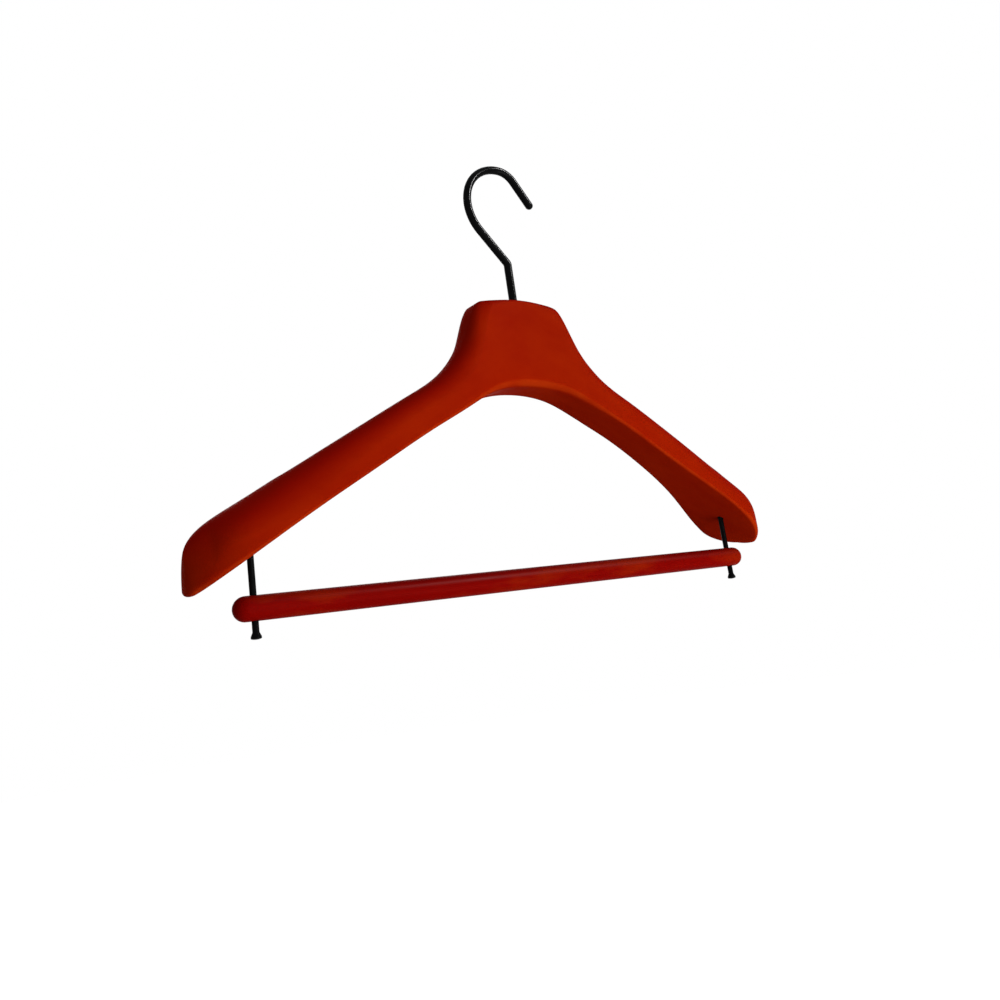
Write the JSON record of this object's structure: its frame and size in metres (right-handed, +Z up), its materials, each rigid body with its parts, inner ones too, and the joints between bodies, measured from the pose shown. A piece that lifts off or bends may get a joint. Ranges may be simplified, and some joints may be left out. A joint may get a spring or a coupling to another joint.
{
  "type": "suit hanger",
  "caption": "Contoured suit hanger with broad curved shoulders, a swivelling bent-wire hook and a round trouser bar that slides on headed pins.",
  "frame": {"origin": "the point under the hook's crown where a rail carries the hanger, on the axis that the hook swivels about", "axes": "+X along the arms towards the side that the hook opens to, +Y the way the arms sweep, to the hollow side, +Z up"},
  "size_m": [0.44, 0.0648, 0.2938],
  "materials": {
    "red_lacquered_wood": "satin red-orange lacquer over close-grained wood",
    "red_lacquered_bar": "satin deep red lacquer over turned wood",
    "black_lacquered_steel": "gloss black lacquer on round steel wire",
    "zinc_plated_steel": "plain zinc plating",
    "beech": "bare wood"
  },
  "bodies": {
    "hook": {"hook": "black_lacquered_steel"},
    "hanger": {"left_arm": "red_lacquered_wood", "right_arm": "red_lacquered_wood", "joint_dowel_front": "beech", "joint_dowel_back": "beech", "hook_bush": "zinc_plated_steel", "hook_washer": "zinc_plated_steel", "left_pin": "black_lacquered_steel", "right_pin": "black_lacquered_steel"},
    "bar": {"trouser_bar": "red_lacquered_bar"}
  },
  "joints": [
    {"name": "hook_swivel", "type": "hinge", "parent": "hook", "child": "hanger", "pos_m": [0, 0, -0.0941], "axis": [0, 0, 1], "continuous": true},
    {"name": "bar_slide", "type": "slide", "parent": "hanger", "child": "bar", "axis": [0, 0, 1], "range_m": [-0.0059, 0.0175]}
  ]
}
